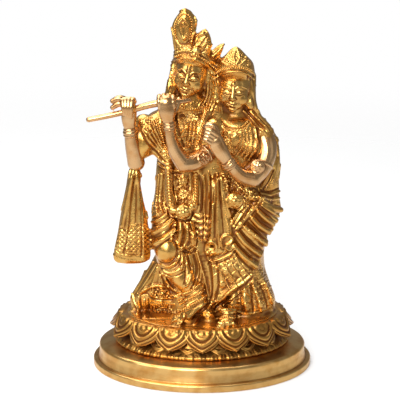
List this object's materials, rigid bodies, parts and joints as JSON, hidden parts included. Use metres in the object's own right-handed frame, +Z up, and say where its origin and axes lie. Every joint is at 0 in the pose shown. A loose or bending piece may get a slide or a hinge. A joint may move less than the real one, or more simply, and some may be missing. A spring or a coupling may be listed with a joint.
{
  "type": "radha krishna statue",
  "caption": "Cast brass statue of a crowned flute player and his consort, side by side on a lotus seat over a stepped oval plinth.",
  "frame": {"origin": "centre of the plinth's underside, on the ground", "axes": "+Z up, figures face -Y, +X to the viewer's right when facing the front"},
  "size_m": [0.13, 0.102, 0.2111],
  "materials": {
    "satin_brass": "ground and brushed satin, with a warm tan tone",
    "cast_brass": "polished on the high parts, with brown patina left in the carving"
  },
  "bodies": {
    "root": {"plinth": "satin_brass", "radha_krishna_group": "cast_brass"}
  },
  "joints": []
}
